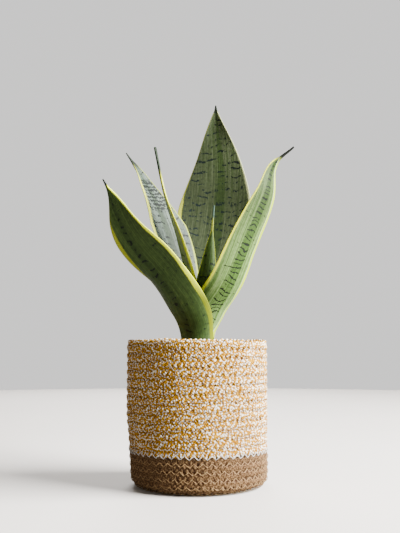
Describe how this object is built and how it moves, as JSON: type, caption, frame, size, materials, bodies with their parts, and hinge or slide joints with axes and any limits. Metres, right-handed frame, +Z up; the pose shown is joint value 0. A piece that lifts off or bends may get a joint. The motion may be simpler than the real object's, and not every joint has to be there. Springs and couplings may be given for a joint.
{
  "type": "potted snake plant",
  "caption": "Snake plant with broad, dark-banded, yellow-edged leaves, potted in a brown and pale braided basket that rests on its flat base.",
  "frame": {"origin": "centre of the basket's flat underside, on the basket's axis", "axes": "+Z up along the basket's axis and the plant's height, -Y the side that faces the picture's camera, +X to the right in it"},
  "size_m": [0.2103, 0.1648, 0.4671],
  "materials": {
    "jute_braid": "rough braided plant fibre",
    "pale_braid": "rough braided cotton in white and ochre",
    "pot_plastic": "satin",
    "potting_mix": "loose and rough",
    "leaf_green": "waxy satin",
    "leaf_silvery": "waxy satin",
    "leaf_dark": "waxy satin"
  },
  "bodies": {
    "root": {"basket_lower_band": "jute_braid", "basket_upper_band": "pale_braid", "nursery_pot": "pot_plastic", "potting_mix": "potting_mix", "leaf_front_left": "leaf_dark", "leaf_right": "leaf_green", "leaf_back": "leaf_green", "leaf_left": "leaf_silvery", "leaf_edge_on": "leaf_green", "leaf_heart": "leaf_dark"}
  },
  "joints": []
}
